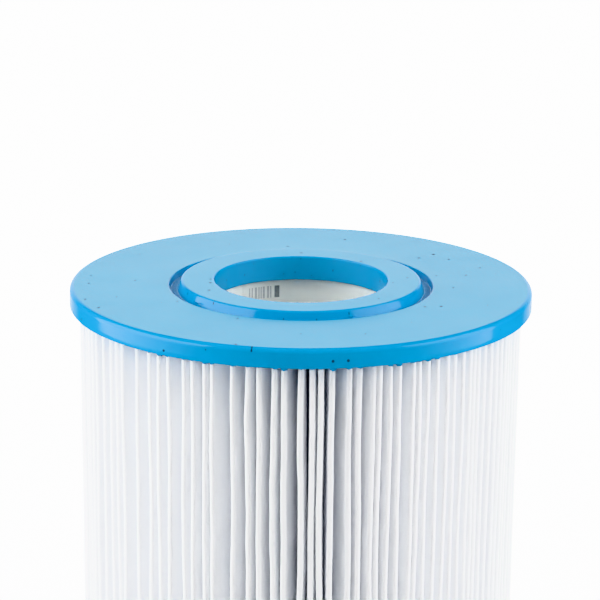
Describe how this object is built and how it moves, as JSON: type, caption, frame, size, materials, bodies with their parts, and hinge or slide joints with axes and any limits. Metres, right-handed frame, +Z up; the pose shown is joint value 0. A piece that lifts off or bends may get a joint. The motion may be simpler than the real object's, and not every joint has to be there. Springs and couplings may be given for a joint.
{
  "type": "filter cartridge",
  "caption": "Round pleated filter cartridge with cast end caps, raised sealing rings and an open perforated core through its middle.",
  "frame": {"origin": "centre of the lower sealing ring's face, on the cartridge's axis", "axes": "+Z up along the cartridge's axis, from the bottom end cap to the top end cap; the sheet's seam is on +Y"},
  "size_m": [0.2032, 0.2032, 0.3381],
  "materials": {
    "cap_resin": "satin cast polyurethane",
    "core_plastic": "moulded",
    "media_fabric": "spunbonded nonwoven",
    "clip_plastic": "extruded",
    "band_fabric": "heat-set tape",
    "label_paper": "printed sticker"
  },
  "bodies": {
    "root": {"top_end_cap": "cap_resin", "bottom_end_cap": "cap_resin", "core_tube": "core_plastic", "pleated_media": "media_fabric", "seam_clip": "clip_plastic", "pleat_band": "band_fabric", "core_label": "label_paper"}
  },
  "joints": []
}
